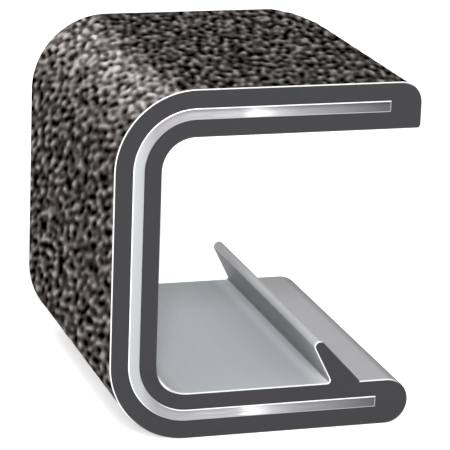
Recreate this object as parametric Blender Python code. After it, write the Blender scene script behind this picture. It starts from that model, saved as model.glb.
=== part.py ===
"""Edge trim seal: a short length of push-on PVC channel with a sheet-metal core.

The section lies in the XZ plane and is extruded along Y. Its web is on the -X side and its mouth faces
+X, so the panel edge that it covers comes in from +X. The origin is under the middle of the part, on the
surface that the bottom leg rests on. All lengths are in metres.
"""

import math

import bmesh
import bpy

MM = 0.001

# Channel
HEIGHT = 15.0 * MM  # over both legs
LENGTH = 14.7 * MM  # along the extrusion
WALL = 2.0 * MM  # both legs and the web
TOP_REACH = 13.1 * MM  # web's outer face to the end of the top leg
BOTTOM_REACH = 13.2 * MM  # web's outer face to the end of the bottom leg
INNER_RADIUS = 1.4 * MM  # inside the two corners of the back
TOP_END_OUTER_RADIUS = 0.95 * MM  # end of the top leg, upper corner
TOP_END_INNER_RADIUS = 0.15 * MM  # end of the top leg, lower corner

# Gripping fin, which stands on the bottom leg and leans back into the channel
LIP_DEPTH = 2.2 * MM  # end of the bottom leg to the fin's front root
FIN_WIDTH = 1.4 * MM  # at its root
FIN_RISE = 1.9 * MM  # over the leg it stands on
FIN_LEAN = 0.47 * MM  # middle of the tip, behind the fin's back root
FIN_TIP_RADIUS = 0.234 * MM

# Metal core, bedded in the wall all the way round
CORE_THICKNESS = 0.48 * MM
CORE_OFFSET = 0.03 * MM  # from the middle of the wall, towards the inside
CORE_EDGE_RADIUS = 0.08 * MM
TOP_END_COVER = 1.35 * MM  # PVC beyond the core in the top leg
BOTTOM_END_COVER = 1.45 * MM  # PVC beyond the core in the bottom leg
BOND_GAP = 0.012 * MM  # between the core and the PVC drawn on it

# Far corner of the top leg, trimmed round in plan
TRIM_ALONG = 3.6 * MM  # along the leg's long edge
TRIM_SKIN = 0.15 * MM  # PVC left over the end of the core

# Facets
CORNER_STEPS = 12
SMALL_STEPS = 6
END_STEPS = 20
CUTTER_MARGIN = 1.0 * MM

COLOUR_PVC = (0.075, 0.074, 0.078, 1.0)
COLOUR_STEEL = (0.62, 0.64, 0.66, 1.0)


def clear_scene():
    """Remove every object that the file opens with."""
    for old in list(bpy.data.objects):
        bpy.data.objects.remove(old, do_unlink=True)


def new_collection(name):
    """Return a new collection in the scene."""
    group = bpy.data.collections.new(name)
    bpy.context.scene.collection.children.link(group)
    return group


def new_material(name, colour, roughness, metallic):
    """Return a Principled material."""
    material = bpy.data.materials.new(name)
    material.use_nodes = True
    shader = material.node_tree.nodes["Principled BSDF"]
    shader.inputs["Base Color"].default_value = colour
    shader.inputs["Roughness"].default_value = roughness
    shader.inputs["Metallic"].default_value = metallic
    return material


def arc(centre, radius, start, end, steps):
    """Points of an arc from one angle to another, in degrees, both ends included."""
    x, z = centre
    turns = [math.radians(start + (end - start) * i / steps) for i in range(steps + 1)]
    return [(x + radius * math.cos(turn), z + radius * math.sin(turn)) for turn in turns]


def touch_angle(point, centre, radius, side):
    """Angle about a circle's centre at which a line from point touches the circle.

    From the direction of the point it is found anticlockwise for a side of 1, and clockwise for -1.
    """
    dx = point[0] - centre[0]
    dz = point[1] - centre[1]
    return math.degrees(math.atan2(dz, dx) + side * math.acos(radius / math.hypot(dx, dz)))


def fin_outline():
    """The fin, from its front root on the lip, over its tip, to its back root on the channel's floor."""
    front = (BOTTOM_REACH - LIP_DEPTH, WALL)
    back = (front[0] - FIN_WIDTH, WALL)
    tip = (back[0] - FIN_LEAN, WALL + FIN_RISE - FIN_TIP_RADIUS)
    start = touch_angle(front, tip, FIN_TIP_RADIUS, 1)
    end = touch_angle(back, tip, FIN_TIP_RADIUS, -1) + 360
    return [front] + arc(tip, FIN_TIP_RADIUS, start, end, SMALL_STEPS) + [back]


def channel_outline():
    """Outside of the channel's section, anticlockwise from the lower corner of the back."""
    outer = INNER_RADIUS + WALL
    lip = WALL / 2
    top_low = (TOP_REACH - TOP_END_INNER_RADIUS, HEIGHT - WALL + TOP_END_INNER_RADIUS)
    top_high = (TOP_REACH - TOP_END_OUTER_RADIUS, HEIGHT - TOP_END_OUTER_RADIUS)
    points = arc((outer, outer), outer, 180, 270, CORNER_STEPS)
    points += arc((BOTTOM_REACH - lip, lip), lip, -90, 90, END_STEPS)
    points += fin_outline()
    points += arc((outer, outer), INNER_RADIUS, 270, 180, CORNER_STEPS)
    points += arc((outer, HEIGHT - outer), INNER_RADIUS, 180, 90, CORNER_STEPS)
    points += arc(top_low, TOP_END_INNER_RADIUS, -90, 0, SMALL_STEPS)
    points += arc(top_high, TOP_END_OUTER_RADIUS, 0, 90, CORNER_STEPS)
    points += arc((outer, HEIGHT - outer), outer, 90, 180, CORNER_STEPS)
    return points


def strip_end(reach, low, high, edge):
    """The end of a strip that runs in +X, with its lower and its upper edge rounded."""
    points = arc((reach - edge, low + edge), edge, -90, 0, SMALL_STEPS)
    points += arc((reach - edge, high - edge), edge, 0, 90, SMALL_STEPS)
    return points


def core_outline(gap):
    """The core's section, grown by a gap on every side."""
    outer = INNER_RADIUS + WALL
    cover = (WALL - CORE_THICKNESS) / 2 + CORE_OFFSET - gap
    inside = cover + CORE_THICKNESS + 2 * gap
    edge = CORE_EDGE_RADIUS + gap
    low_centre = (outer, outer)
    high_centre = (outer, HEIGHT - outer)
    points = arc(low_centre, outer - cover, 180, 270, CORNER_STEPS)
    points += strip_end(BOTTOM_REACH - BOTTOM_END_COVER + gap, cover, inside, edge)
    points += arc(low_centre, outer - inside, 270, 180, CORNER_STEPS)
    points += arc(high_centre, outer - inside, 180, 90, CORNER_STEPS)
    points += strip_end(TOP_REACH - TOP_END_COVER + gap, HEIGHT - inside, HEIGHT - cover, edge)
    points += arc(high_centre, outer - cover, 90, 180, CORNER_STEPS)
    return points


def flat_curve(name, outlines, depth):
    """Return a filled 2D curve of closed outlines, as thick as depth."""
    curve = bpy.data.curves.new(name, "CURVE")
    curve.dimensions = "2D"
    curve.fill_mode = "BOTH"
    curve.extrude = depth / 2
    for outline in outlines:
        spline = curve.splines.new("POLY")
        spline.points.add(len(outline) - 1)
        for point, (x, y) in zip(spline.points, outline):
            point.co = (x, y, 0, 1)
        spline.use_cyclic_u = True
    shape = bpy.data.objects.new(name, curve)
    bpy.context.scene.collection.objects.link(shape)
    return shape


def as_mesh(shape, collection):
    """Replace a curve object by a mesh object of the same name and place, with its caps welded on."""
    bpy.context.view_layer.update()
    name = shape.name
    place = shape.matrix_world.copy()
    evaluated = shape.evaluated_get(bpy.context.evaluated_depsgraph_get())
    mesh = bpy.data.meshes.new_from_object(evaluated)
    bpy.data.objects.remove(shape, do_unlink=True)
    work = bmesh.new()
    work.from_mesh(mesh)
    bmesh.ops.remove_doubles(work, verts=work.verts, dist=0.001 * MM)
    bmesh.ops.recalc_face_normals(work, faces=work.faces)
    work.to_mesh(mesh)
    work.free()
    solid = bpy.data.objects.new(name, mesh)
    solid.matrix_world = place
    collection.objects.link(solid)
    return solid


def extruded_section(name, outlines, collection):
    """Stand a section up in the XZ plane, over the origin, and extrude it along Y."""
    shape = flat_curve(name, outlines, LENGTH)
    shape.location = (-BOTTOM_REACH / 2, 0, 0)
    shape.rotation_euler = (math.radians(90), 0, 0)
    return as_mesh(shape, collection)


def trim_cutter(collection):
    """What is trimmed off the top leg: seen from above, all of its far corner outside a quarter ellipse."""
    across = TOP_END_COVER - TRIM_SKIN
    x = TOP_REACH - across
    y = LENGTH / 2 - TRIM_ALONG
    far_x = TOP_REACH + CUTTER_MARGIN
    far_y = LENGTH / 2 + CUTTER_MARGIN
    outline = [(x + across * u, y + TRIM_ALONG * v) for u, v in arc((0, 0), 1, 0, 90, CORNER_STEPS)]
    outline += [(x, far_y), (far_x, far_y), (far_x, y)]
    shape = flat_curve("trim_cutter", [outline], WALL + 2 * CUTTER_MARGIN)
    shape.location = (-BOTTOM_REACH / 2, 0, HEIGHT - WALL / 2)
    cutter = as_mesh(shape, collection)
    cutter.hide_render = True
    cutter.display_type = "WIRE"
    return cutter


def make_channel(collection, cutters):
    """The PVC channel with its fin, the pocket that holds the core, and the trimmed corner."""
    channel = extruded_section("pvc_channel", [channel_outline(), core_outline(BOND_GAP)], collection)
    channel.data.materials.append(new_material("flexible PVC", COLOUR_PVC, 0.55, 0.0))
    cut = channel.modifiers.new("trimmed corner", "BOOLEAN")
    cut.operation = "DIFFERENCE"
    cut.solver = "EXACT"
    cut.object = trim_cutter(cutters)


def make_core(collection):
    """The sheet-metal core, flush with both cut ends."""
    core = extruded_section("metal_core", [core_outline(0)], collection)
    core.data.materials.append(new_material("steel strip", COLOUR_STEEL, 0.3, 1.0))


def main():
    clear_scene()
    parts = new_collection("edge trim seal")
    cutters = new_collection("cutters")
    make_channel(parts, cutters)
    make_core(parts)


main()
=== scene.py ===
"""Looks of the edge trim seal: grained PVC channel, smooth grey inside, bright metal core, and the studio.

The section lies in the XZ plane, with its web at the low X side and its mouth at the high one, and the
extrusion runs along Y. It is drawn from the web's outer face and the underside of the lower leg, and moved
to its place when it is finished. Sizes are in metres.
"""

import math

import bmesh
import bpy
from bmesh.types import BMEdge, BMFace, BMVert
from bpy.props import FloatProperty, FloatVectorProperty, IntProperty, PointerProperty
from mathutils import Matrix, Vector, noise


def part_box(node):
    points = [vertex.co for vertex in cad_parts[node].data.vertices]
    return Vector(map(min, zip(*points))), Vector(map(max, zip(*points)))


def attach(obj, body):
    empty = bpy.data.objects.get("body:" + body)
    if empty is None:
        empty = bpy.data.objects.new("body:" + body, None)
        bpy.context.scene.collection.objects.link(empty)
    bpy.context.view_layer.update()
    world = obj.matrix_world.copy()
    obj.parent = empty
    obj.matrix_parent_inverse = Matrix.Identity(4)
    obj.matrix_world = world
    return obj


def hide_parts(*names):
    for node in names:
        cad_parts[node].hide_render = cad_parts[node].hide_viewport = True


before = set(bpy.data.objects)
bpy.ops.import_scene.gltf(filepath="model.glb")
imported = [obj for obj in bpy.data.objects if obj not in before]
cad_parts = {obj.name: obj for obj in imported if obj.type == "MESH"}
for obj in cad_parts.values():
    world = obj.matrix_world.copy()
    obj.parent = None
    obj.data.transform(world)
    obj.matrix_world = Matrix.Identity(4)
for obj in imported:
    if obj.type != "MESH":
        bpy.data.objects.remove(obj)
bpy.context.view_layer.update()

bl_info = {
    "name": "Edge Trim Seal Looks",
    "version": (1, 0, 0),
    "blender": (4, 5, 0),
    "location": "View3D > Sidebar > Edge Trim",
    "description": "Dresses a short length of push-on edge trim and sets up its studio",
    "category": "Object",
}

MM = 0.001

CHANNEL_LOW, CHANNEL_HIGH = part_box("pvc_channel")
CORE_LOW, CORE_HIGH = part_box("metal_core")
HEIGHT = CHANNEL_HIGH.z - CHANNEL_LOW.z
REACH = CHANNEL_HIGH.x - CHANNEL_LOW.x

# Facets and tolerances
FIN_TIP_STEPS = 10
SMALL_STEPS = 6
CREASE = math.radians(40)  # sharper edges keep their crease
WELD = 0.0005 * MM
FLUSH = 0.002 * MM  # nearer to a wall than this is on it
HAIR = 0.01 * MM
TRIM_BLEND = 5 * MM  # of the upper leg's end, over which the trimmed corner draws it back

# Patterns: the size of one fleck, patch or line
SPECKLE = 0.11 * MM  # matt flecks on the pebbles
HANDLED_PATCH = 0.7 * MM  # spots of the bend that fingers have polished
DIE_LINE = 0.3 * MM  # coarser than the die's real lines, of about 0.05 mm, which are too fine to show
MOTTLE = 1.1 * MM  # clouds of filler in the sawn PVC
BRUSH_LINE = 0.06 * MM  # coarser than the real lines, of about 0.02 mm, which are too fine to show
DIE_LINE_SHAPE = 0.03  # width over length
BRUSH_LINE_SHAPE = 0.06

# How strongly a pattern shows
SPECKLE_SHARE = 0.3  # of the grain's height
HANDLED_GLINT = 14.0  # times the sheen of the other crowns
BRUSH_TONE = 0.5  # of the metal's tone
BRUSH_FRAY = 0.07  # of the section's width, where one tone of the metal meets the next

PVC_IOR = 1.53
WHITE = (1, 1, 1, 1)

# Finishes, in the order of the materials: those of the channel, then those of the core
SKIN, INSIDE, LIP, FLANK_SHADE, RIDGE_HIGHLIGHT, CUT, RIM = range(7)
SAWN, BURR = range(2)
RIDGE_DEPTH = 1.1  # of the fin's tip radius, from its top down

# Sawn edges
LIT_SIDE = Vector((-0.82, 0, 0.57))  # rims that face the web's side or up get a painted highlight
HIGHLIGHT_TURN = (-0.2, 0.45)  # how far towards that side the painted highlight begins, and is whole
SAME_BEND = 0.9  # rim faces whose directions agree by more than this blend their painted highlight
BROKEN_REACH = 0.65  # of the inner radius, round the middle of the lower inner corner

# Pebble grain
DRAWN = Vector((0.26, 0.894, -0.365)).normalized()  # the way that the pebbles are drawn out
RING = 0.36  # of a pebble's pitch, out to the points that it is levelled against
AROUND = [Vector(way) * RING for way in ((1, 1, 1), (1, -1, -1), (-1, 1, -1), (-1, -1, 1))]
HIDDEN_TURN = (0.2, 0.8)  # how far down or to the mouth's side the round pebbles begin, and are whole
LEG_END_SHADE = 0.2  # painted shade: how much lower, so darker and deeper pitted, the grain stands on the end of the upper leg

# Painted highlight, in degrees round the upper bend from the web, and painted shade, in degrees round the
# lip from its side
HIGHLIGHT_RISES = (8, 58)
HIGHLIGHT_FALLS = (68, 90)
LIP_SHADE_FADES = (50, 95)
# painted shade on the lip's side, and painted light on the floor at the fin's root
LIP_SHADE = 0.85
ROOT_LIGHT = -1

# Studio: each softbox has a name, a place, a size, a power in watts and a colour
FLOOR_HALF = 3.0
FLOOR_GLOW = 0.55
AIM = (0, 0, 8 * MM)
SOFTBOXES = (
    ("back softbox", (-0.024, 0.274, 0.107), (0.14, 0.06), 0.08, "#fff0ec"),
    ("mouth softbox", (0.26, -0.10, 0.26), (0.20, 0.16), 0.1, "#ffffff"),
    ("front softbox", (-0.068, -0.29, 0.20), (0.09, 0.16), 1.33, "#ffffff"),
    ("web softbox", (-0.32, -0.06, 0.16), (0.20, 0.16), 0.2, "#ffffff"),
    ("top softbox", (0.0, 0.02, 0.40), (0.25, 0.25), 0.1, "#ffffff"),
)


def linear(hex_colour):
    """An sRGB hex colour as linear RGB."""
    values = [int(hex_colour[i : i + 2], 16) / 255 for i in (1, 3, 5)]
    return [v / 12.92 if v <= 0.04045 else ((v + 0.055) / 1.055) ** 2.4 for v in values]


def length(name, description, default):
    """A length property."""
    return FloatProperty(
        name=name, description=description, default=default, min=0, unit="LENGTH", precision=5
    )


def colour(name, description, hex_colour):
    """A colour property."""
    return FloatVectorProperty(
        name=name, description=description, default=linear(hex_colour), min=0, max=1, subtype="COLOR"
    )


def angle(name, description, default):
    """An angle property, in radians."""
    return FloatProperty(name=name, description=description, default=default, subtype="ANGLE")


class TrimSizes(bpy.types.PropertyGroup):
    """Sizes of the section, from the outer face of the web and the underside of the lower leg"""

    wall: length("Wall", "Thickness of the web and both legs", 2.0 * MM)
    top_reach: length("Upper leg reach", "Web's outer face to the end of the upper leg", 13.1 * MM)
    inner_radius: length("Inner radius", "Inside of the two corners of the back", 1.4 * MM)
    top_end_outer: length("Upper leg end, outer radius", "Upper corner of the leg's end", 0.95 * MM)
    top_end_inner: length("Upper leg end, inner radius", "Lower corner of the leg's end", 0.15 * MM)
    lip_depth: length("Lip depth", "End of the lower leg to the fin's front root", 2.2 * MM)
    fin_width: length("Fin width", "Width of the fin at its root", 1.4 * MM)
    fin_rise: length("Fin rise", "Height of the fin over its leg", 1.9 * MM)
    fin_lean: length("Fin lean", "How far the tip stands behind the fin's back root", 0.47 * MM)
    fin_tip: length("Fin tip radius", "Radius of the fin's tip", 0.234 * MM)
    # the strip of floor behind the fin's root that gets painted light
    root_light_strip: length("Strip of painted light", "Width of the painted light on the floor behind the fin's root", 0.7 * MM)
    fin_fillet: length("Fin root fillet", "Fillet between the fin's back and the channel's floor", 0.12 * MM)
    core_thickness: length("Core thickness", "Gauge of the metal strip", 0.48 * MM)
    bond_gap: length("Bond gap", "Between the core and the PVC", 0.012 * MM)
    rim: length("Rim", "Chamfer of the sawn edges of the PVC", 0.045 * MM)
    broken_edge: length("Broken edge", "Extra chamfer in the lower inner corner", 0.05 * MM)
    core_rim: length("Core rim", "Width of the bevel round the sawn ends of the core", 0.042 * MM)
    core_rim_depth: length("Core rim depth", "Depth of that bevel", 0.02 * MM)
    trim_along: length("Trimmed corner, along", "Round of the far corner along the leg", 3.6 * MM)
    trim_across: length("Trimmed corner, across", "Round of the far corner across the leg", 1.2 * MM)
    round_steps: IntProperty(name="Round steps", description="Facets of a quarter turn", default=12, min=3)


class TrimGrain(bpy.types.PropertyGroup):
    """The pebble grain that the embossing roll leaves on the outside"""

    pitch: length("Pitch", "Spacing of the pebbles across the draw", 0.278 * MM)
    draw: FloatProperty(
        name="Draw", description="How many times longer a pebble is along the draw", default=8.0, min=1
    )
    round_pitch: length("Round pitch", "Spacing of the round pebbles underneath and on the ends", 0.4 * MM)
    depth: length("Depth", "Deepest pit", 0.045 * MM)
    fade: length("Fade", "How far from a sawn edge the relief dies out", 0.15 * MM)
    contrast: FloatProperty(
        name="Contrast", description="How soon the grain is all pit or all bump", default=1.1, min=0
    )
    across: length("Mesh pitch across", "Spacing of the skin's points round the section", 0.057 * MM)
    along: length("Mesh pitch along", "Spacing of the skin's points along the extrusion", 0.128 * MM)


class TrimColours(bpy.types.PropertyGroup):
    """Colours of every finish"""

    pit: colour("Grain, pits", "Bottom of the grain", "#000000")
    skin: colour("Grain, middle", "Flanks of the grain", "#3d3a38")
    pebble: colour("Grain, bumps", "Shoulders of the pebbles", "#64605e")
    crown: colour("Grain, crowns", "Tops of the highest pebbles", "#8c8986")
    # painted highlight along the upper bend: lighter colours of the same grain
    highlight_pit: colour("Painted corner highlight, pits", "Bottom of the grain in the painted highlight on the bend", "#0e0c0c")
    highlight_skin: colour("Painted corner highlight, middle", "Flanks of the grain in the painted highlight on the bend", "#706a68")
    highlight_crown: colour("Painted corner highlight, crowns", "Tops of the pebbles in the painted highlight on the bend", "#bbb3af")
    inside: colour("Inside", "Smooth inner skin", "#aeb2b4")
    lip: colour("Lip", "Smooth skin of the lip and the front of the fin", "#adadaf")
    # painted shade on the fin's back, and a painted highlight on its tip and root fillet
    flank_shade: colour("Back of the fin", "Smooth skin with painted shade", "#919193")
    ridge_highlight: colour("Ridge of the fin", "Painted highlight on the fin's tip and root fillet", "#b7b7b9")
    cut: colour("Cut PVC", "Sawn end of the PVC", "#2d2c2f")
    # painted highlight on the rims of the cut that face the light side, and on the broken part of the edge
    rim: colour("Rim", "Painted highlight on the edge of the cut", "#d3d3d1")
    # The core's tones along the strip are painted reflection: lighter in the web, a painted highlight half
    # way along each leg, and painted shade towards the ends
    core_web: colour("Core, web", "Sawn metal in the web", "#aeb0b2")
    core_bend: colour("Core, bends", "Sawn metal where the strip was bent", "#9a979b")
    core_leg: colour("Core, legs", "Sawn metal on both sides of the painted highlight", "#adacaf")
    core_middle: colour("Core, middle", "Sawn metal past the painted highlight", "#929294")
    core_highlight: colour("Core, painted highlight", "Painted highlight of the sawn metal", "#efefef")
    core_shade: colour("Core, painted shade", "Sawn metal towards the ends of the legs", "#5a5b5e")
    burr: colour("Burr", "Rounded edge of the core, out of the light", "#9a9b9e")
    floor: colour("Floor", "Studio floor", "#fbfbfb")


class TrimStudio(bpy.types.PropertyGroup):
    """Camera and surroundings"""

    azimuth: angle("Azimuth", "Camera round the object", -0.3084)
    elevation: angle("Elevation", "Camera over the floor", 0.2871)
    roll: angle("Roll", "Camera about its own axis", 0.0367)
    distance: length("Distance", "Camera to its target", 108.98 * MM)
    target_x: length("Target across", "From the web's outer face", 4.74 * MM)
    target_z: length("Target height", "From the floor", 9.24 * MM)
    lens: FloatProperty(name="Lens", description="Focal length in millimetres", default=212.78, min=1)
    sky: FloatProperty(name="Sky", description="Strength of the white surroundings", default=0.33, min=0)


class Pen:
    """Draws a closed outline in the XZ plane, as edges of a bmesh."""

    def __init__(self, bm, x, z):
        self.bm = bm
        self.first = len(bm.verts)
        self.tip = bmesh.ops.create_vert(bm, co=(x, 0, z))["vert"][0]

    def sweep(self, steps, centre=(0, 0, 0), angle=0.0, step=(0, 0, 0)):
        """Drag the tip round a centre, along a step, or both, and leave a trail of edges."""
        made = bmesh.ops.spin(
            self.bm, geom=[self.tip], cent=centre, axis=(0, -1, 0), dvec=step, angle=angle, steps=steps
        )
        self.tip = of_kind(made["geom_last"], BMVert)[0]

    def line(self, x, z, pitch=None):
        """Go straight to a point, in steps of a pitch."""
        way = Vector((x, 0, z)) - self.tip.co
        steps = max(round(way.length / pitch), 1) if pitch else 1
        self.sweep(steps, step=way / steps)

    def turn(self, x, z, degrees, steps):
        """Go round a centre, anticlockwise for positive degrees."""
        self.sweep(steps, centre=(x, 0, z), angle=math.radians(degrees))

    def close(self):
        """Join the last point to the first, and return the outline's edges."""
        self.bm.verts.ensure_lookup_table()
        drawn = self.bm.verts[self.first :]
        bmesh.ops.remove_doubles(self.bm, verts=drawn, dist=WELD)
        self.bm.verts.ensure_lookup_table()
        drawn = set(self.bm.verts[self.first :])
        return [edge for edge in self.bm.edges if edge.verts[0] in drawn and edge.verts[1] in drawn]


def of_kind(parts, kind):
    """Those parts of an operator's result that are points, edges or faces."""
    return [part for part in parts if isinstance(part, kind)]


def on_circle(centre, radius, degrees):
    """Point of a circle at an angle."""
    turn = math.radians(degrees)
    return (centre[0] + radius * math.cos(turn), centre[1] + radius * math.sin(turn))


def touch_angle(point, centre, radius, side):
    """Direction, in degrees, from a circle's centre to where a line from point touches the circle."""
    dx = point[0] - centre[0]
    dz = point[1] - centre[1]
    return math.degrees(math.atan2(dz, dx) + side * math.acos(radius / math.hypot(dx, dz)))


def draw_fin(pen, sizes):
    """Draw the gripping fin from its front root, over its tip, to its filleted back root."""
    front = (REACH - sizes.lip_depth, sizes.wall)
    back = (front[0] - sizes.fin_width, sizes.wall)
    tip = (back[0] - sizes.fin_lean, sizes.wall + sizes.fin_rise - sizes.fin_tip)
    start = touch_angle(front, tip, sizes.fin_tip, 1)
    end = touch_angle(back, tip, sizes.fin_tip, -1) + 360
    pen.line(*front)
    pen.line(*on_circle(tip, sizes.fin_tip, start))
    pen.turn(*tip, end - start, FIN_TIP_STEPS)
    lean = end - 180
    gap = sizes.fin_fillet / math.tan(math.radians((90 + lean) / 2))
    centre = (back[0] - gap, sizes.wall + sizes.fin_fillet)
    pen.line(*on_circle(centre, sizes.fin_fillet, lean))
    pen.turn(*centre, -90 - lean, SMALL_STEPS)
    # the floor strip behind the root, which gets painted light
    pen.line(centre[0] - sizes.root_light_strip, sizes.wall)


def draw_channel(bm, sizes, grain):
    """Draw the outside of the channel's section, anticlockwise from the lower corner of the back."""
    outer = sizes.wall + sizes.inner_radius
    lip = sizes.wall / 2
    fine = grain.across
    steps = sizes.round_steps

    def count(radius):
        """Steps of a grained quarter turn."""
        return round(radius * math.radians(90) / fine)

    pen = Pen(bm, 0, outer)
    pen.turn(outer, outer, 90, count(outer))
    pen.line(REACH - lip, 0, fine)
    pen.turn(REACH - lip, lip, 90, count(lip))
    pen.turn(REACH - lip, lip, 90, steps)
    draw_fin(pen, sizes)
    pen.line(outer, sizes.wall)
    pen.turn(outer, outer, -90, steps)
    pen.line(sizes.wall, HEIGHT - outer)
    pen.turn(outer, HEIGHT - outer, -90, steps)
    end_low = sizes.top_reach - sizes.top_end_inner
    end_high = sizes.top_reach - sizes.top_end_outer
    pen.line(end_low, HEIGHT - sizes.wall)
    pen.turn(end_low, HEIGHT - sizes.wall + sizes.top_end_inner, 90, SMALL_STEPS)
    pen.line(sizes.top_reach, HEIGHT - sizes.top_end_outer, fine)
    pen.turn(end_high, HEIGHT - sizes.top_end_outer, 90, count(sizes.top_end_outer))
    pen.line(outer, HEIGHT, fine)
    pen.turn(outer, HEIGHT - outer, 90, count(outer))
    pen.line(0, outer, fine)
    return pen.close()


def draw_core(bm, sizes, gap, steps):
    """Draw the core's section, grown by a gap."""
    outer = sizes.wall + sizes.inner_radius
    cover = CORE_LOW.x - CHANNEL_LOW.x - gap
    inside = cover + sizes.core_thickness + 2 * gap
    reach = CORE_HIGH.x - CHANNEL_LOW.x + gap
    pen = Pen(bm, cover, outer)
    pen.turn(outer, outer, 90, steps)
    pen.line(reach, cover)
    pen.line(reach, inside)
    pen.line(outer, inside)
    pen.turn(outer, outer, -90, steps)
    pen.line(inside, HEIGHT - outer)
    pen.turn(outer, HEIGHT - outer, -90, steps)
    pen.line(reach, HEIGHT - inside)
    pen.line(reach, HEIGHT - cover)
    pen.line(outer, HEIGHT - cover)
    pen.turn(outer, HEIGHT - outer, 90, steps)
    pen.line(cover, outer)
    return pen.close()


def pull(bm, edges, start, end, cuts=0):
    """Pull an outline from one Y to another as a wall, and return the edges of its two ends."""
    verts = {vert for edge in edges for vert in edge.verts}
    bmesh.ops.translate(bm, verts=list(verts), vec=(0, start, 0))
    made = bmesh.ops.extrude_edge_only(bm, edges=edges)["geom"]
    far = of_kind(made, BMVert)
    bmesh.ops.translate(bm, verts=far, vec=(0, end - start, 0))
    far_set = set(far)
    far_edges = [edge for edge in of_kind(made, BMEdge) if set(edge.verts) <= far_set]
    if cuts:
        along = [edge for vert in far for edge in vert.link_edges if edge.other_vert(vert) not in far_set]
        bmesh.ops.subdivide_edges(bm, edges=along, cuts=cuts)
    return list(edges), far_edges


def add_rim(bm, edges, width, depth, finish):
    """Chamfer the end of a wall: a strip that leans inwards, as wide as width says for each place."""
    bm.normal_update()
    lean = {vert: vert.normal * vert.calc_shell_factor() for edge in edges for vert in edge.verts}
    places = {tuple(vert.co): push for vert, push in lean.items()}
    made = bmesh.ops.extrude_edge_only(bm, edges=edges)["geom"]
    rim = of_kind(made, BMVert)
    for vert in rim:
        push = places[tuple(vert.co)] * width(vert.co)
        vert.co += Vector((-push.x, depth, -push.z))
    for face in of_kind(made, BMFace):
        face.material_index = finish
    rim_set = set(rim)
    return [edge for edge in of_kind(made, BMEdge) if set(edge.verts) <= rim_set]


def add_cap(bm, edges, finish):
    """Fill the flat end between outlines."""
    made = bmesh.ops.triangle_fill(bm, use_beauty=True, use_dissolve=False, edges=edges)["geom"]
    for face in of_kind(made, BMFace):
        face.material_index = finish


def orient(bm):
    """Turn every face outwards."""
    bmesh.ops.recalc_face_normals(bm, faces=bm.faces)
    if bm.calc_volume(signed=True) < 0:
        bmesh.ops.reverse_faces(bm, faces=bm.faces)


def smoothstep(low, high, value):
    """0 below low, 1 above high, and smooth between."""
    t = min(max((value - low) / (high - low), 0), 1)
    return t * t * (3 - 2 * t)


def broken(sizes, place):
    """How far the sawn edge is broken by hand: 1 in the middle of the lower inner corner."""
    middle = sizes.wall + sizes.inner_radius * (1 - math.sqrt(0.5))
    away = math.hypot(place.x - middle, place.z - middle)
    return 1 - smoothstep(0, BROKEN_REACH * sizes.inner_radius, away)


def painted_edge_highlight(bm, rim, scuff_and_light):
    """Store a painted highlight on each rim: the greater of how far it turns to the lit side and how far its
    edge is broken, blended where it runs round a bend.
    """
    layer = bm.loops.layers.float.new("painted_edge_highlight")
    facing = {}
    for face in bm.faces:
        if face.material_index == rim:
            across = Vector((face.normal.x, 0, face.normal.z)).normalized()
            # painted highlight: rims that face the light side, and the broken part of the edge
            highlight = max(smoothstep(*HIGHLIGHT_TURN, across.dot(LIT_SIDE)), scuff_and_light(face.calc_center_median()))
            facing[face] = (across, highlight)
    for face, (across, _) in facing.items():
        for corner in face.loops:
            beside = [facing[other] for other in corner.vert.link_faces if other in facing]
            highlight = [value for other, value in beside if other.dot(across) > SAME_BEND]
            corner[layer] = sum(highlight) / len(highlight)


def trim_far_corner(bm, sizes, half):
    """Draw back the far corner of the upper leg, along a quarter of an ellipse seen from above."""
    start = half - sizes.trim_along
    blend_start = sizes.top_reach - TRIM_BLEND
    blend_end = sizes.top_reach - sizes.top_end_outer
    underside = HEIGHT - sizes.wall - HAIR
    for vert in bm.verts:
        if vert.co.z < underside or vert.co.y <= start or vert.co.x <= blend_start:
            continue
        turn = min((vert.co.y - start) / sizes.trim_along, 1)
        back = sizes.trim_across * (1 - math.sqrt(1 - turn * turn))
        vert.co.x -= back * smoothstep(blend_start, blend_end, vert.co.x)


def paint_finishes(bm, sizes):
    """Give each wall of the channel its finish: grain outside, smooth inside, another tone on the lip,
    painted shade on the fin's back, and a painted highlight on its tip and root fillet.
    """
    outer = sizes.wall + sizes.inner_radius
    fin_front = REACH - sizes.lip_depth
    fin_back = fin_front - sizes.fin_width
    root_top = sizes.wall + sizes.fin_fillet
    ridge_highlight = sizes.wall + sizes.fin_rise - RIDGE_DEPTH * sizes.fin_tip
    for face in bm.faces:
        x, _, z = face.calc_center_median()
        lower = z < HEIGHT / 2
        raised = lower and z > sizes.wall + FLUSH and x > outer
        if x < sizes.wall - FLUSH or not sizes.wall / 2 < z < HEIGHT - sizes.wall + FLUSH:
            face.material_index = SKIN
        # the fin's root fillet and tip get a painted highlight, and its back painted shade
        elif raised and z < root_top and x < fin_back and face.normal.z > 0:
            face.material_index = RIDGE_HIGHLIGHT
        elif raised and z > ridge_highlight and face.normal.x < 0:
            face.material_index = RIDGE_HIGHLIGHT
        elif raised and face.normal.x < 0:
            face.material_index = FLANK_SHADE
        elif raised or lower and x > fin_front:
            face.material_index = LIP
        else:
            face.material_index = INSIDE


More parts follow.
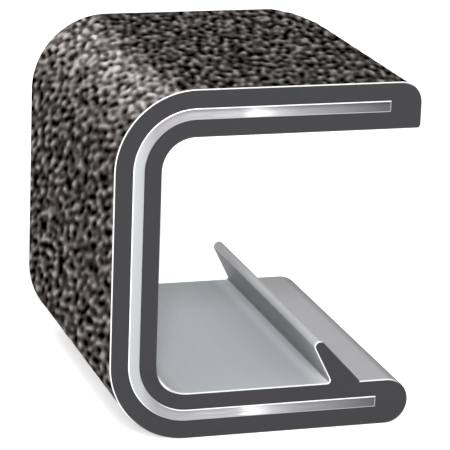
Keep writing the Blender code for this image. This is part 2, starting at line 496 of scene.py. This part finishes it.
def painted_shading(bm, sizes):
    """Store painted shading on the smooth skin: above 0 on the lip's turning side, as painted shade; below
    it on the floor at the fin's root, as painted light.
    """
    layer = bm.verts.layers.float.new("painted_shading")
    radius = sizes.wall / 2
    middle = REACH - radius
    root = REACH - sizes.lip_depth - sizes.fin_width
    for vert in bm.verts:
        if vert.co.x > middle - HAIR and vert.co.z <= sizes.wall:
            turn = math.degrees(math.atan2(vert.co.z - radius, vert.co.x - middle))
            vert[layer] = LIP_SHADE * (1 - smoothstep(*LIP_SHADE_FADES, turn))
        elif root - 2 * sizes.fin_fillet < vert.co.x < root and vert.co.z < sizes.wall + sizes.fin_fillet:
            vert[layer] = ROOT_LIGHT


def pebbles(spot):
    """Height of evenly sized pebbles: smooth noise less its surroundings, so no broad swells are left."""
    return noise.noise(spot) - sum(noise.noise(spot + way) for way in AROUND) / len(AROUND)


def emboss(bm, sizes, grain, half):
    """Sink the pits of the pebble grain into the skin, and store on every point the grain and the painted
    highlight round the upper bend.
    """
    corner_x = sizes.wall + sizes.inner_radius
    corner_z = HEIGHT - corner_x
    leg_end = sizes.top_reach - sizes.top_end_outer
    layer = bm.verts.layers.float.new("grain")
    corner_highlight = bm.verts.layers.float.new("corner_highlight")
    bm.normal_update()
    skin = [vert for vert in bm.verts if any(face.material_index == SKIN for face in vert.link_faces)]
    moves = []
    for vert in skin:
        along = vert.co.dot(DRAWN)
        pebble = pebbles((vert.co - DRAWN * (along * (1 - 1 / grain.draw))) / grain.pitch)
        hidden = smoothstep(*HIDDEN_TURN, max(vert.normal.x, -vert.normal.z))
        if hidden:
            pebble += hidden * (pebbles(vert.co / grain.round_pitch) - pebble)
        # painted shade: the grain is lower, so darker, on the end of the upper leg
        end_shade = 0
        if vert.co.z > corner_z:
            end_shade = LEG_END_SHADE * smoothstep(0, sizes.top_end_outer, vert.co.x - leg_end)
        level = min(max(0.5 - end_shade + pebble * grain.contrast, 0), 1)
        # painted highlight band round the upper bend, in degrees from the web
        around = math.degrees(math.atan2(vert.co.z - corner_z, corner_x - vert.co.x))
        vert[corner_highlight] = smoothstep(*HIGHLIGHT_RISES, around) * (1 - smoothstep(*HIGHLIGHT_FALLS, around))
        vert[layer] = level
        inner = all(face.material_index == SKIN for face in vert.link_faces)
        edge = smoothstep(0, grain.fade, half - abs(vert.co.y)) if inner else 0
        moves.append((vert, vert.normal * (-grain.depth * (1 - level) * edge)))
    for vert, move in moves:
        vert.co += move


def finish_piece(name, bm, materials, node, origin):
    """Make the object of a finished bmesh, and hide the node that it stands for."""
    bmesh.ops.translate(bm, verts=bm.verts, vec=origin)
    mesh = bpy.data.meshes.new(name)
    bm.to_mesh(mesh)
    bm.free()
    mesh.polygons.foreach_set("use_smooth", [True] * len(mesh.polygons))
    mesh.set_sharp_from_angle(angle=CREASE)
    for material in materials:
        mesh.materials.append(material)
    piece = bpy.data.objects.new(name, mesh)
    bpy.context.scene.collection.objects.link(piece)
    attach(piece, "root")
    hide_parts(node)


def add_node(tree, kind, links=(), **settings):
    """Add a node: plain settings are attributes, and those in a dictionary named inputs are its sockets."""
    node = tree.nodes.new(kind)
    sockets = settings.pop("inputs", {})
    for key, value in settings.items():
        setattr(node, key, value)
    for key, value in sockets.items():
        node.inputs[key].default_value = value
    for source, target in links:
        tree.links.new(source, node.inputs[target])
    return node


def new_material(name, **sockets):
    """A material with one Principled shader, and the sockets that are the same all over it."""
    material = bpy.data.materials.new(name)
    material.use_nodes = True
    tree = material.node_tree
    shader = tree.nodes["Principled BSDF"]
    for key, value in sockets.items():
        shader.inputs[key.replace("_", " ")].default_value = value
    return material, tree, shader


def rgba(value):
    """A colour property as four numbers."""
    return (*value, 1.0)


def set_ramp(ramp, stops):
    """Give a colour ramp its stops, as pairs of a place and a colour."""
    elements = ramp.color_ramp.elements
    while len(elements) < len(stops):
        elements.new(0.5)
    for element, (place, value) in zip(elements, stops):
        element.position = place
        element.color = rgba(value)


def grained_pvc(colours):
    """Flexible PVC, embossed: grey-brown pebbles, near-black pits, and a dull sheen on the crowns.

    Along the upper bend the pebbles are painted lighter, as a painted highlight, and spots of them are
    buffed glossy by fingers.
    """
    material, tree, shader = new_material(
        "embossed flexible PVC", IOR=PVC_IOR, Specular_IOR_Level=0.0, Coat_Roughness=0.28
    )
    grain = add_node(tree, "ShaderNodeAttribute", attribute_name="grain")
    place = add_node(tree, "ShaderNodeTexCoord")
    speckle = add_node(
        tree,
        "ShaderNodeTexNoise",
        [(place.outputs["Object"], "Vector")],
        inputs={"Scale": 1 / SPECKLE, "Detail": 1.0},
    )
    mixed = add_node(
        tree,
        "ShaderNodeMath",
        [(speckle.outputs["Fac"], 0), (grain.outputs["Fac"], 2)],
        operation="MULTIPLY_ADD",
        inputs={1: SPECKLE_SHARE},
    )
    level = add_node(
        tree,
        "ShaderNodeMath",
        [(mixed.outputs[0], 0)],
        operation="SUBTRACT",
        inputs={1: SPECKLE_SHARE / 2},
    )
    tone = add_node(tree, "ShaderNodeValToRGB", [(level.outputs[0], "Fac")])
    set_ramp(tone, [(0.1, colours.pit), (0.5, colours.skin), (0.8, colours.pebble), (1.0, colours.crown)])
    # painted highlight along the upper bend: the grain's lighter colours, mixed in below
    scuff_and_light = add_node(tree, "ShaderNodeValToRGB", [(level.outputs[0], "Fac")])
    set_ramp(scuff_and_light, [(0.1, colours.highlight_pit), (0.5, colours.highlight_skin), (1.0, colours.highlight_crown)])
    rough = add_node(
        tree,
        "ShaderNodeMapRange",
        [(level.outputs[0], "Value")],
        inputs={"To Min": 0.95, "To Max": 0.45},
    )
    corner_highlight = add_node(tree, "ShaderNodeAttribute", attribute_name="corner_highlight")
    shade = add_node(
        tree,
        "ShaderNodeMixRGB",
        [
            (corner_highlight.outputs["Fac"], "Fac"),
            (tone.outputs["Color"], "Color1"),
            (scuff_and_light.outputs["Color"], "Color2"),
        ],
    )
    patches = add_node(
        tree,
        "ShaderNodeTexNoise",
        [(place.outputs["Object"], "Vector")],
        inputs={"Scale": 1 / HANDLED_PATCH, "Detail": 1.0},
    )
    handled = add_node(
        tree,
        "ShaderNodeMapRange",
        [(patches.outputs["Fac"], "Value")],
        inputs={"From Min": 0.45, "From Max": 0.65, "To Max": 1.0},
    )
    sheen = add_node(
        tree,
        "ShaderNodeMapRange",
        [(level.outputs[0], "Value")],
        inputs={"From Min": 0.6, "To Min": 0.0, "To Max": 0.1},
    )
    band = add_node(
        tree,
        "ShaderNodeMapRange",
        [(corner_highlight.outputs["Fac"], "Value")],
        interpolation_type="SMOOTHSTEP",
        inputs={"From Min": 0.5, "From Max": 0.9, "To Max": 0.06},
    )
    spot = add_node(
        tree,
        "ShaderNodeMath",
        [(corner_highlight.outputs["Fac"], 0), (handled.outputs["Result"], 1)],
        operation="MULTIPLY",
    )
    glint = add_node(
        tree,
        "ShaderNodeMath",
        [(sheen.outputs["Result"], 0), (spot.outputs[0], 1)],
        operation="MULTIPLY",
    )
    lifted = add_node(
        tree,
        "ShaderNodeMath",
        [(glint.outputs[0], 0), (sheen.outputs["Result"], 2)],
        operation="MULTIPLY_ADD",
        inputs={1: HANDLED_GLINT},
    )
    gloss = add_node(
        tree,
        "ShaderNodeMath",
        [(lifted.outputs[0], 0), (band.outputs["Result"], 1)],
        operation="ADD",
        use_clamp=True,
    )
    bump = add_node(
        tree,
        "ShaderNodeBump",
        [(level.outputs[0], "Height")],
        inputs={"Strength": 0.5, "Distance": 0.03 * MM},
    )
    tree.links.new(gloss.outputs[0], shader.inputs["Coat Weight"])
    tree.links.new(shade.outputs["Color"], shader.inputs["Base Color"])
    tree.links.new(rough.outputs["Result"], shader.inputs["Roughness"])
    tree.links.new(bump.outputs["Normal"], shader.inputs["Normal"])
    tree.links.new(bump.outputs["Normal"], shader.inputs["Coat Normal"])
    return material


def smooth_pvc(name, tone):
    """Smooth extruded PVC: an even light grey with faint lines drawn by the die.

    It is darker on the lip's turning side as painted shade, and paler at the fin's root as painted light.
    """
    material, tree, shader = new_material(name, IOR=PVC_IOR, Roughness=0.55, Specular_IOR_Level=0.3)
    place = add_node(tree, "ShaderNodeTexCoord")
    drawn = add_node(
        tree,
        "ShaderNodeMapping",
        [(place.outputs["Object"], "Vector")],
        inputs={"Scale": (1, DIE_LINE_SHAPE, 1)},
    )
    lines = add_node(
        tree,
        "ShaderNodeTexNoise",
        [(drawn.outputs[0], "Vector")],
        inputs={"Scale": 1 / DIE_LINE, "Detail": 2.0},
    )
    tint = add_node(
        tree,
        "ShaderNodeMapRange",
        [(lines.outputs["Fac"], "Value")],
        inputs={"To Min": 0.95, "To Max": 1.045},
    )
    scuff_and_light = add_node(tree, "ShaderNodeAttribute", attribute_name="painted_shading")
    # painted shading: darker on the lip's side, up to 1.6 times lighter at the fin's root
    fade = add_node(
        tree,
        "ShaderNodeMapRange",
        [(scuff_and_light.outputs["Fac"], "Value")],
        inputs={"From Min": -1.0, "To Min": 1.6, "To Max": 0.4},
    )
    dimmed = add_node(
        tree,
        "ShaderNodeMath",
        [(tint.outputs["Result"], 0), (fade.outputs["Result"], 1)],
        operation="MULTIPLY",
    )
    shade = add_node(
        tree,
        "ShaderNodeVectorMath",
        [(dimmed.outputs[0], 1)],
        operation="MULTIPLY",
        inputs={0: tuple(tone)},
    )
    bump = add_node(
        tree,
        "ShaderNodeBump",
        [(lines.outputs["Fac"], "Height")],
        inputs={"Strength": 0.15, "Distance": 0.01 * MM},
    )
    tree.links.new(shade.outputs[0], shader.inputs["Base Color"])
    tree.links.new(bump.outputs["Normal"], shader.inputs["Normal"])
    return material


def cut_pvc(colours):
    """PVC as the saw leaves it: a dull dark grey, faintly clouded by its filler."""
    material, tree, shader = new_material(
        "sawn PVC", IOR=PVC_IOR, Roughness=0.7, Specular_IOR_Level=0.2
    )
    place = add_node(tree, "ShaderNodeTexCoord")
    mottle = add_node(
        tree,
        "ShaderNodeTexNoise",
        [(place.outputs["Object"], "Vector")],
        inputs={"Scale": 1 / MOTTLE, "Detail": 3.0},
    )
    tint = add_node(
        tree,
        "ShaderNodeMapRange",
        [(mottle.outputs["Fac"], "Value")],
        inputs={"To Min": 0.94, "To Max": 1.05},
    )
    shade = add_node(
        tree,
        "ShaderNodeVectorMath",
        [(tint.outputs["Result"], 1)],
        operation="MULTIPLY",
        inputs={0: tuple(colours.cut)},
    )
    tree.links.new(shade.outputs[0], shader.inputs["Base Color"])
    return material


def rim_pvc(colours):
    """Edge of the cut: a painted highlight where the edge faces the light side, and dark elsewhere."""
    material, tree, shader = new_material("PVC edge, painted highlight", IOR=PVC_IOR, Roughness=0.6)
    highlight = add_node(tree, "ShaderNodeAttribute", attribute_name="painted_edge_highlight")
    tone = add_node(tree, "ShaderNodeValToRGB", [(highlight.outputs["Fac"], "Fac")])
    set_ramp(tone, [(0.0, colours.cut), (1.0, colours.rim)])
    tree.links.new(tone.outputs["Color"], shader.inputs["Base Color"])
    return material


def sawn_metal(colours):
    """Bright steel strip, sawn and brushed: fine lines along each leg, and painted reflection, with a
    painted highlight half way along each leg.
    """
    material, tree, shader = new_material("sawn steel strip", Metallic=1.0, Roughness=0.34)
    place = add_node(tree, "ShaderNodeTexCoord")
    across = add_node(tree, "ShaderNodeSeparateXYZ", [(place.outputs["Object"], "Vector")])
    along_leg = add_node(
        tree,
        "ShaderNodeMapRange",
        [(across.outputs["X"], "Value")],
        inputs={"From Min": CHANNEL_LOW.x, "From Max": CHANNEL_HIGH.x},
    )
    brushed = add_node(
        tree,
        "ShaderNodeMapping",
        [(place.outputs["Object"], "Vector")],
        inputs={"Scale": (BRUSH_LINE_SHAPE, 1, 1)},
    )
    lines = add_node(
        tree,
        "ShaderNodeTexNoise",
        [(brushed.outputs[0], "Vector")],
        inputs={"Scale": 1 / BRUSH_LINE, "Detail": 1.0},
    )
    in_leg = add_node(
        tree,
        "ShaderNodeMapRange",
        [(along_leg.outputs["Result"], "Value")],
        inputs={"From Min": 0.2, "From Max": 0.3},
    )
    centred = add_node(
        tree,
        "ShaderNodeMath",
        [(lines.outputs["Fac"], 0)],
        operation="SUBTRACT",
        inputs={1: 0.5},
    )
    streak = add_node(
        tree,
        "ShaderNodeMath",
        [(centred.outputs[0], 0), (in_leg.outputs["Result"], 1)],
        operation="MULTIPLY",
    )
    # the painted highlight leans with height
    highlight_lean = add_node(
        tree,
        "ShaderNodeMapRange",
        [(across.outputs["Z"], "Value")],
        inputs={"From Min": CHANNEL_LOW.z, "From Max": CHANNEL_HIGH.z, "To Min": -0.016, "To Max": 0.012},
    )
    ragged = add_node(
        tree,
        "ShaderNodeMath",
        [(streak.outputs[0], 0), (highlight_lean.outputs["Result"], 2)],
        operation="MULTIPLY_ADD",
        inputs={1: BRUSH_FRAY},
    )
    reach = add_node(
        tree,
        "ShaderNodeMath",
        [(along_leg.outputs["Result"], 0), (ragged.outputs[0], 1)],
        operation="ADD",
    )
    tone = add_node(tree, "ShaderNodeValToRGB", [(reach.outputs[0], "Fac")])
    # painted reflection: lighter in the web, a painted highlight at 0.452, painted shade towards the ends of
    # the legs
    stops = [
        (0.09, colours.core_web),
        (0.14, colours.core_bend),
        (0.41, colours.core_leg),
        (0.452, colours.core_highlight),
        (0.53, colours.core_leg),
        (0.60, colours.core_middle),
        (0.88, colours.core_shade),
    ]
    set_ramp(tone, stops)
    # painted shade: the lower leg is a little darker
    lower_shade = add_node(
        tree,
        "ShaderNodeMapRange",
        [(across.outputs["Z"], "Value")],
        inputs={"From Min": CHANNEL_LOW.z, "From Max": CHANNEL_HIGH.z, "To Min": 0.93, "To Max": 1.0},
    )
    lined = add_node(
        tree,
        "ShaderNodeMath",
        [(streak.outputs[0], 0), (lower_shade.outputs["Result"], 2)],
        operation="MULTIPLY_ADD",
        inputs={1: BRUSH_TONE},
    )
    shade = add_node(
        tree,
        "ShaderNodeVectorMath",
        [(tone.outputs["Color"], 0), (lined.outputs[0], 1)],
        operation="MULTIPLY",
    )
    tree.links.new(shade.outputs[0], shader.inputs["Base Color"])
    return material


def rim_metal(colours):
    """Burr rounded off the sawn ends of the core: a painted highlight where it faces the light, grey
    elsewhere.
    """
    material, tree, shader = new_material("steel burr, painted highlight", Metallic=0.2, Roughness=0.4)
    highlight = add_node(tree, "ShaderNodeAttribute", attribute_name="painted_edge_highlight")
    tone = add_node(tree, "ShaderNodeValToRGB", [(highlight.outputs["Fac"], "Fac")])
    set_ramp(tone, [(0.0, colours.burr), (1.0, colours.core_highlight)])
    tree.links.new(tone.outputs["Color"], shader.inputs["Base Color"])
    return material


class TRIM_OT_channel(bpy.types.Operator):
    """Model the PVC channel: grained outside, smooth inside, chamfered sawn ends"""

    bl_idname = "trim.channel"
    bl_label = "PVC channel"

    def execute(self, context):
        sizes = context.scene.trim_sizes
        grain = context.scene.trim_grain
        colours = context.scene.trim_colours
        half = (CHANNEL_HIGH.y - CHANNEL_LOW.y) / 2
        straight = half - sizes.rim

        def scuff_and_light(place):
            """How far the edge is broken at a place, which widens the chamfer and paints a highlight on it.
            """
            return broken(sizes, place)

        def rim_width(place):
            """Width of the chamfer at a place."""
            return sizes.rim + sizes.broken_edge * scuff_and_light(place)

        bm = bmesh.new()
        outline = draw_channel(bm, sizes, grain)
        cuts = round(2 * straight / grain.along) - 1
        near, far = pull(bm, outline, -straight, straight, cuts)
        orient(bm)
        paint_finishes(bm, sizes)
        trim_far_corner(bm, sizes, half)
        near = add_rim(bm, near, rim_width, -sizes.rim, RIM)
        far = add_rim(bm, far, rim_width, sizes.rim, RIM)
        pocket = draw_core(bm, sizes, sizes.bond_gap, sizes.round_steps)
        walls = set(bm.faces)
        near_pocket, far_pocket = pull(bm, pocket, -half, half)
        for face in set(bm.faces) - walls:
            face.material_index = CUT
        add_cap(bm, near + near_pocket, CUT)
        add_cap(bm, far + far_pocket, CUT)
        orient(bm)
        # painted highlight on the rims of the cut
        painted_edge_highlight(bm, RIM, scuff_and_light)
        painted_shading(bm, sizes)
        emboss(bm, sizes, grain, half)
        materials = [
            grained_pvc(colours),
            smooth_pvc("die-smooth PVC", colours.inside),
            smooth_pvc("soft PVC", colours.lip),
            # painted shade on the fin's back, and a painted highlight on its tip and root fillet
            smooth_pvc("shaded soft PVC", colours.flank_shade),
            smooth_pvc("soft PVC, painted highlight", colours.ridge_highlight),
            cut_pvc(colours),
            rim_pvc(colours),
        ]
        origin = (CHANNEL_LOW.x, (CHANNEL_LOW.y + CHANNEL_HIGH.y) / 2, CHANNEL_LOW.z)
        finish_piece("grained_channel", bm, materials, "pvc_channel", origin)
        return {"FINISHED"}


class TRIM_OT_core(bpy.types.Operator):
    """Model the metal core with the burr rounded off its sawn ends"""

    bl_idname = "trim.core"
    bl_label = "Metal core"

    def execute(self, context):
        sizes = context.scene.trim_sizes
        colours = context.scene.trim_colours
        straight = (CORE_HIGH.y - CORE_LOW.y) / 2 - sizes.core_rim_depth
        bm = bmesh.new()
        outline = draw_core(bm, sizes, 0, 2 * sizes.round_steps)
        near, far = pull(bm, outline, -straight, straight)
        orient(bm)
        near = add_rim(bm, near, lambda place: sizes.core_rim, -sizes.core_rim_depth, BURR)
        far = add_rim(bm, far, lambda place: sizes.core_rim, sizes.core_rim_depth, BURR)
        add_cap(bm, near, SAWN)
        add_cap(bm, far, SAWN)
        orient(bm)
        # painted highlight on the core's rims that face the light side
        painted_edge_highlight(bm, BURR, lambda place: 0)
        materials = [sawn_metal(colours), rim_metal(colours)]
        origin = (CHANNEL_LOW.x, (CORE_LOW.y + CORE_HIGH.y) / 2, CHANNEL_LOW.z)
        finish_piece("bright_core", bm, materials, "metal_core", origin)
        return {"FINISHED"}


def area_light(name, place, size, power, tint):
    """A softbox at a place, aimed at the trim."""
    data = bpy.data.lights.new(name, "AREA")
    data.shape = "RECTANGLE"
    data.size, data.size_y = size
    data.energy = power
    data.color = linear(tint)
    lamp = bpy.data.objects.new(name, data)
    lamp.location = place
    lamp.rotation_euler = (Vector(AIM) - Vector(place)).to_track_quat("-Z", "Y").to_euler()
    lamp.visible_camera = False
    bpy.context.scene.collection.objects.link(lamp)


def make_camera(studio):
    """A long lens at the photograph's viewing angle."""
    level = math.cos(studio.elevation)
    back = Vector(
        (
            math.sin(studio.azimuth) * level,
            -math.cos(studio.azimuth) * level,
            math.sin(studio.elevation),
        )
    )
    turn = back.to_track_quat("Z", "Y").to_matrix().to_4x4() @ Matrix.Rotation(studio.roll, 4, "Z")
    target = Vector((CHANNEL_LOW.x + studio.target_x, CHANNEL_LOW.y, CHANNEL_LOW.z + studio.target_z))
    data = bpy.data.cameras.new("camera")
    data.lens = studio.lens
    data.clip_start = 10 * MM
    camera = bpy.data.objects.new("camera", data)
    camera.matrix_world = Matrix.Translation(target + back * studio.distance) @ turn
    bpy.context.scene.collection.objects.link(camera)
    bpy.context.scene.camera = camera


def make_world(studio):
    """White surroundings: dim to the object, white where the camera sees past the floor."""
    world = bpy.data.worlds.new("studio")
    world.use_nodes = True
    bpy.context.scene.world = world
    tree = world.node_tree
    background = tree.nodes["Background"]
    background.inputs["Color"].default_value = WHITE
    ray = add_node(tree, "ShaderNodeLightPath")
    strength = add_node(
        tree,
        "ShaderNodeMapRange",
        [(ray.outputs["Is Camera Ray"], "Value")],
        inputs={"To Min": studio.sky, "To Max": 1.0},
    )
    tree.links.new(strength.outputs["Result"], background.inputs["Strength"])


def make_floor(colours):
    """A wide table of opal acrylic, lit from below: near white, with a faint soft shadow of the trim."""
    bm = bmesh.new()
    bmesh.ops.create_grid(bm, x_segments=1, y_segments=1, size=FLOOR_HALF)
    bmesh.ops.translate(bm, verts=bm.verts, vec=(0, 0, CHANNEL_LOW.z - HAIR))
    mesh = bpy.data.meshes.new("floor")
    bm.to_mesh(mesh)
    bm.free()
    material, _, _ = new_material(
        "lit opal acrylic table",
        Base_Color=rgba(colours.floor),
        Roughness=0.9,
        Specular_IOR_Level=0.1,
        Emission_Color=WHITE,
        Emission_Strength=FLOOR_GLOW,
    )
    mesh.materials.append(material)
    floor = bpy.data.objects.new("floor", mesh)
    bpy.context.scene.collection.objects.link(floor)


class TRIM_OT_stage(bpy.types.Operator):
    """Set up the floor, the softboxes, the surroundings and the camera"""

    bl_idname = "trim.stage"
    bl_label = "Studio"

    def execute(self, context):
        studio = context.scene.trim_studio
        make_camera(studio)
        make_world(studio)
        make_floor(context.scene.trim_colours)
        for softbox in SOFTBOXES:
            area_light(*softbox)
        context.scene.view_settings.view_transform = "Standard"
        return {"FINISHED"}


class TRIM_PT_panel(bpy.types.Panel):
    """Lists the makers of every piece"""

    bl_idname = "TRIM_PT_panel"
    bl_label = "Edge Trim Seal"
    bl_space_type = "VIEW_3D"
    bl_region_type = "UI"
    bl_category = "Edge Trim"

    def draw(self, context):
        for maker in MAKERS:
            self.layout.operator(maker.bl_idname)


MAKERS = (TRIM_OT_channel, TRIM_OT_core, TRIM_OT_stage)
GROUPS = {
    "trim_sizes": TrimSizes,
    "trim_grain": TrimGrain,
    "trim_colours": TrimColours,
    "trim_studio": TrimStudio,
}
CLASSES = (*GROUPS.values(), *MAKERS, TRIM_PT_panel)


def register():
    """Register the classes, and hang the settings on the scene."""
    for kind in CLASSES:
        bpy.utils.register_class(kind)
    for name, group in GROUPS.items():
        setattr(bpy.types.Scene, name, PointerProperty(type=group))


def unregister():
    """Undo what register does, in the opposite order."""
    for name in GROUPS:
        delattr(bpy.types.Scene, name)
    for kind in reversed(CLASSES):
        bpy.utils.unregister_class(kind)


def main():
    """Make every piece and the stage."""
    register()
    bpy.ops.trim.channel()
    bpy.ops.trim.core()
    bpy.ops.trim.stage()


if __name__ == "__main__":
    main()
